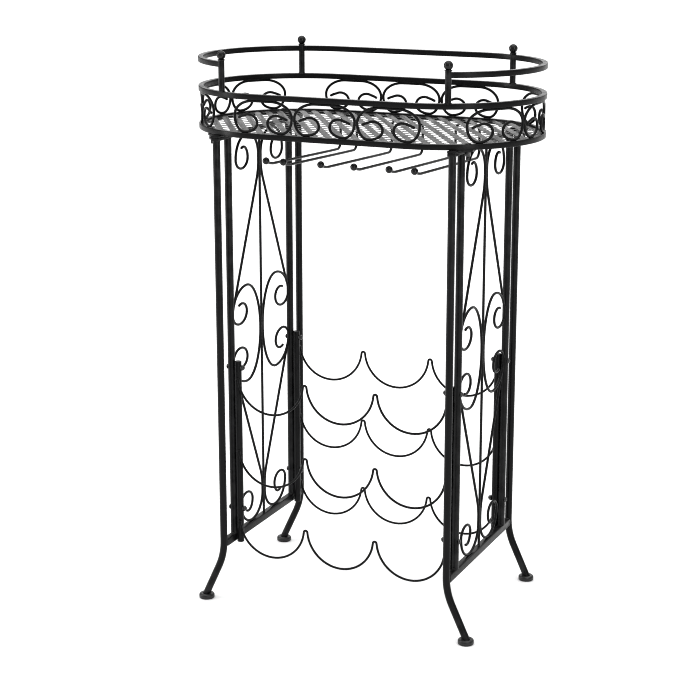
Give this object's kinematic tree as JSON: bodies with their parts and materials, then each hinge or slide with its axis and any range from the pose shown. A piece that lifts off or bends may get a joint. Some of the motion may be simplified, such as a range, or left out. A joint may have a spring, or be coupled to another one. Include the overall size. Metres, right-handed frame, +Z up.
{
  "type": "wine rack",
  "caption": "Tall free-standing iron rack: bottle cradles between two scrollwork side frames, under an oval mesh tray with a railed gallery and stemware hangers.",
  "frame": {"origin": "on the floor, under the middle of the rack", "axes": "+Z up, +X to the right, +Y from the open front towards the back"},
  "size_m": [0.532, 0.302, 0.8495],
  "materials": {
    "iron_black": "satin black powder coat over steel, with a fine orange peel",
    "mesh_black": "thin black powder coat on expanded steel mesh, rubbed a little on the strand tops",
    "fastener_black": "black zinc plated steel screws and domed nuts, slightly glossier than the frame",
    "foot_black": "satin black powder coat, scuffed at the floor edge"
  },
  "bodies": {
    "root": {"leg_front_left": "iron_black", "leg_front_right": "iron_black", "leg_back_left": "iron_black", "leg_back_right": "iron_black", "foot_front_left": "foot_black", "foot_front_right": "foot_black", "foot_back_left": "foot_black", "foot_back_right": "foot_black", "post_front_left": "iron_black", "post_front_right": "iron_black", "post_back_left": "iron_black", "post_back_right": "iron_black", "bottom_bar_left": "iron_black", "bottom_bar_right": "iron_black", "top_bar_left": "iron_black", "top_bar_right": "iron_black", "centre_rod_left": "iron_black", "centre_rod_right": "iron_black", "upper_scroll_front_left": "iron_black", "upper_scroll_front_right": "iron_black", "upper_scroll_back_left": "iron_black", "upper_scroll_back_right": "iron_black", "lower_scroll_front_left": "iron_black", "lower_scroll_front_right": "iron_black", "lower_scroll_back_left": "iron_black", "lower_scroll_back_right": "iron_black", "c_scroll_front_left": "iron_black", "c_scroll_front_right": "iron_black", "c_scroll_back_left": "iron_black", "c_scroll_back_right": "iron_black", "cradle_post_front_left": "iron_black", "cradle_post_front_right": "iron_black", "cradle_post_back_left": "iron_black", "cradle_post_back_right": "iron_black", "cradle_wire_front_top": "iron_black", "cradle_wire_front_middle": "iron_black", "cradle_wire_front_bottom": "iron_black", "cradle_wire_back_top": "iron_black", "cradle_wire_back_middle": "iron_black", "cradle_wire_back_bottom": "iron_black", "cradle_bolts": "fastener_black", "cradle_nuts": "fastener_black", "tray_rim": "iron_black", "tray_mesh": "mesh_black", "gallery_ring": "iron_black", "gallery_scrolls_front": "iron_black", "gallery_scrolls_right": "iron_black", "gallery_scrolls_back": "iron_black", "gallery_scrolls_left": "iron_black", "top_rail": "iron_black", "rail_posts": "iron_black", "finials": "iron_black", "tray_brackets": "iron_black", "tray_screws": "fastener_black", "tray_nuts": "fastener_black", "hanger_left": "iron_black", "hanger_middle": "iron_black", "hanger_right": "iron_black", "hanger_balls": "iron_black"}
  },
  "joints": []
}
